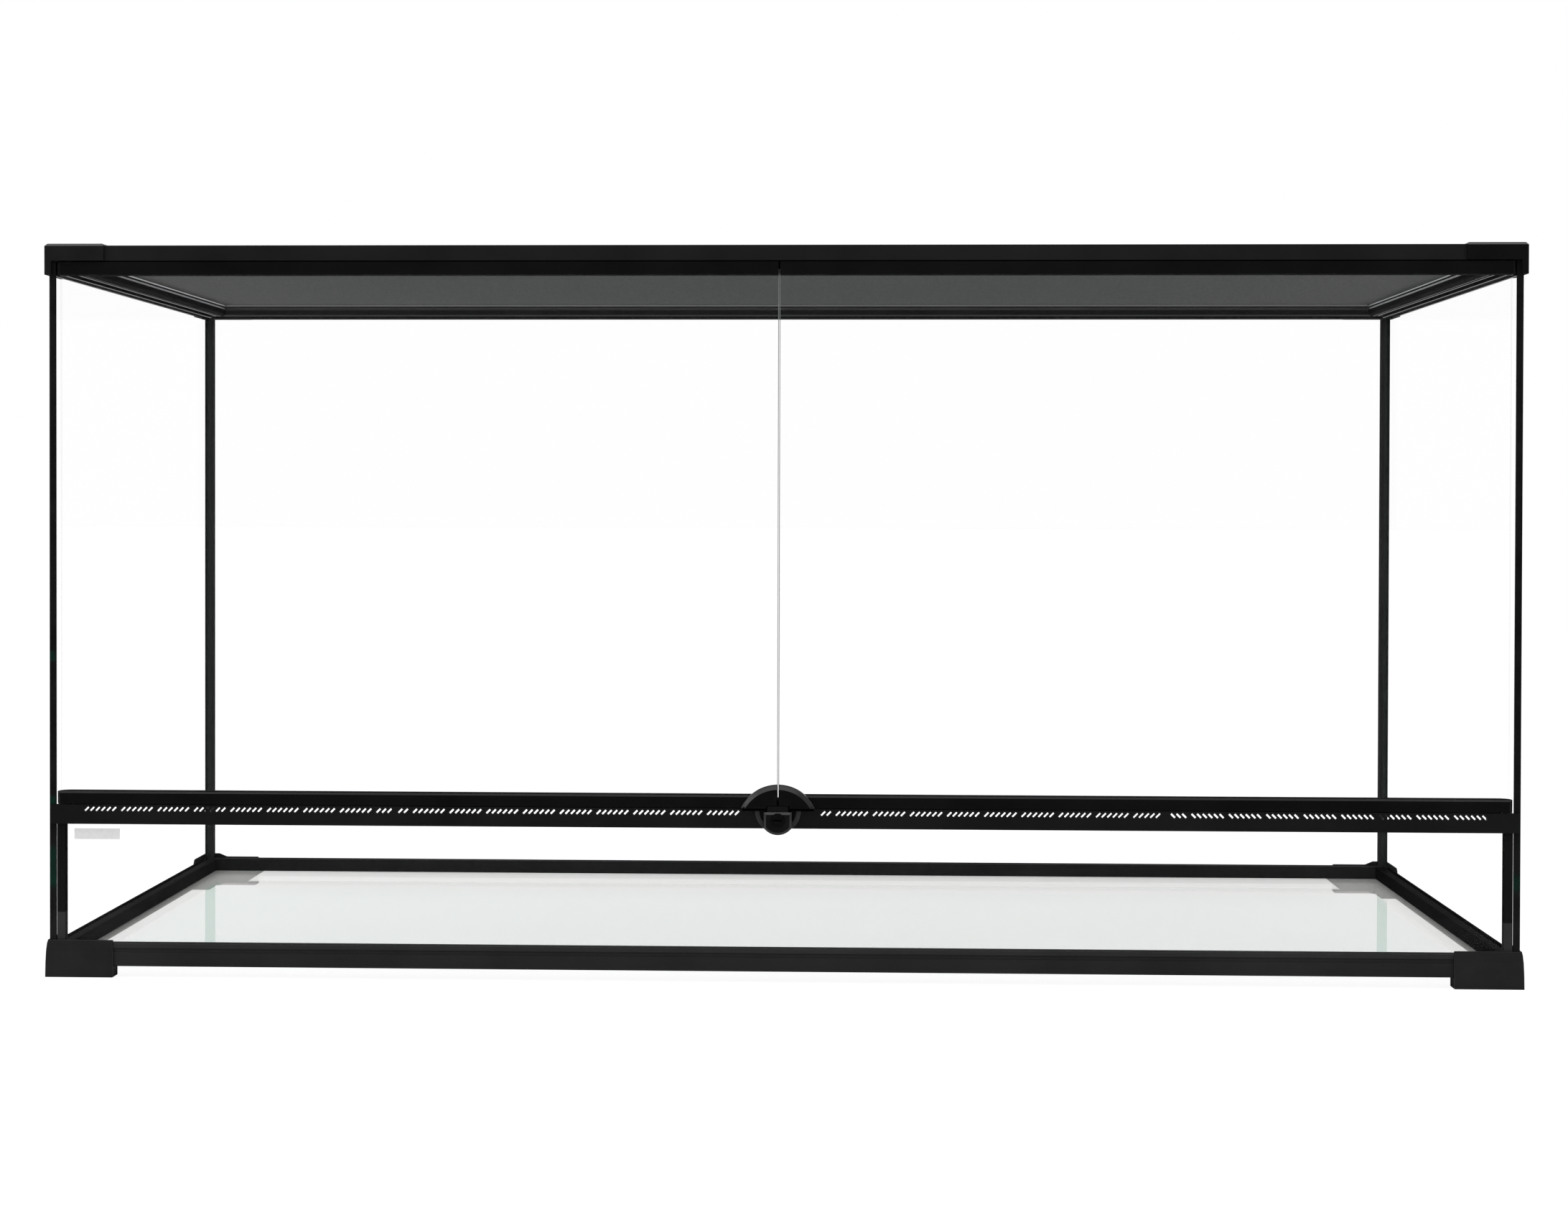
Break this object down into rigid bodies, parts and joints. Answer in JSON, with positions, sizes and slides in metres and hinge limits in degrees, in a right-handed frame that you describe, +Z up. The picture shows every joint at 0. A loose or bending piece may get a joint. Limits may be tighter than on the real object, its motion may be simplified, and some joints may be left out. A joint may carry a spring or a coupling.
{
  "type": "reptile terrarium",
  "caption": "Wide front-opening glass terrarium with black plastic rails, two swing doors over a slotted vent strip, a front lock and a lift-out mesh screen.",
  "frame": {"origin": "The bottom centre of the whole terrarium's bounding box, on the ground between the four feet, with the lock's small overhang at the front included.", "axes": "X runs along the front, left to right seen from the front, and is the longest side. Y runs from the doors at the front to the back pane. Z is up."},
  "size_m": [1.2, 0.608, 0.6],
  "materials": {
    "frame_plastic": "satin black extruded plastic",
    "door_plastic": "satin black extruded plastic",
    "corner_plastic": "finely textured black moulded plastic",
    "clear_glass": "clear float glass, faint green edges",
    "pin_steel": "plain zinc-plated steel",
    "screen_metal": "black powder-coated metal",
    "mesh_wire": "black-coated fine wire",
    "spline_vinyl": "grey vinyl cord",
    "blank_label": "blank matte label"
  },
  "bodies": {
    "tank": {"base_rail_front": "frame_plastic", "base_rail_back": "frame_plastic", "base_rail_left": "frame_plastic", "base_rail_right": "frame_plastic", "foot_front_left": "corner_plastic", "foot_front_right": "corner_plastic", "foot_back_left": "corner_plastic", "foot_back_right": "corner_plastic", "floor_glass": "clear_glass", "side_glass_left": "clear_glass", "side_glass_right": "clear_glass", "back_glass": "clear_glass", "lower_front_glass": "clear_glass", "lower_end_profile_left": "frame_plastic", "lower_end_profile_right": "frame_plastic", "front_edge_profile_left": "frame_plastic", "front_edge_profile_right": "frame_plastic", "rear_post_left": "frame_plastic", "rear_post_right": "frame_plastic", "level_label": "blank_label", "vent_rail": "frame_plastic", "vent_grille_1": "frame_plastic", "vent_grille_2": "frame_plastic", "vent_grille_3": "frame_plastic", "vent_grille_4": "frame_plastic", "top_rail_front": "frame_plastic", "top_rail_back": "frame_plastic", "top_rail_left": "frame_plastic", "top_rail_right": "frame_plastic", "cap_front_left": "corner_plastic", "cap_front_right": "corner_plastic", "cap_back_left": "corner_plastic", "cap_back_right": "corner_plastic", "lock_ring": "corner_plastic", "lock_body": "corner_plastic"},
    "left_door": {"door_glass_left": "clear_glass", "door_bottom_rail_left": "door_plastic", "door_top_rail_left": "door_plastic", "door_handle_left": "door_plastic", "hinge_pins_left": "pin_steel"},
    "right_door": {"door_glass_right": "clear_glass", "door_bottom_rail_right": "door_plastic", "door_top_rail_right": "door_plastic", "door_handle_right": "door_plastic", "hinge_pins_right": "pin_steel"},
    "lock_core": {"lock_cylinder": "corner_plastic", "lock_cam": "pin_steel", "lock_nut": "pin_steel"},
    "screen_lid": {"screen_bar_front": "screen_metal", "screen_bar_back": "screen_metal", "screen_bar_left": "screen_metal", "screen_bar_right": "screen_metal", "screen_mesh": "mesh_wire", "screen_spline": "spline_vinyl"}
  },
  "joints": [
    {"name": "left_door_hinge", "type": "hinge", "parent": "tank", "child": "left_door", "pos_m": [-0.581, -0.2885, 0.36], "axis": [0, 0, -1], "range_deg": [0, 105]},
    {"name": "right_door_hinge", "type": "hinge", "parent": "tank", "child": "right_door", "pos_m": [0.581, -0.2885, 0.36], "axis": [0, 0, 1], "range_deg": [0, 105]},
    {"name": "lock_turn", "type": "hinge", "parent": "tank", "child": "lock_core", "pos_m": [0, -0.29, 0.133], "axis": [0, -1, 0], "range_deg": [0, 90]},
    {"name": "screen_lift", "type": "slide", "parent": "tank", "child": "screen_lid", "axis": [0, 0, 1], "range_m": [0, 0.08]}
  ]
}
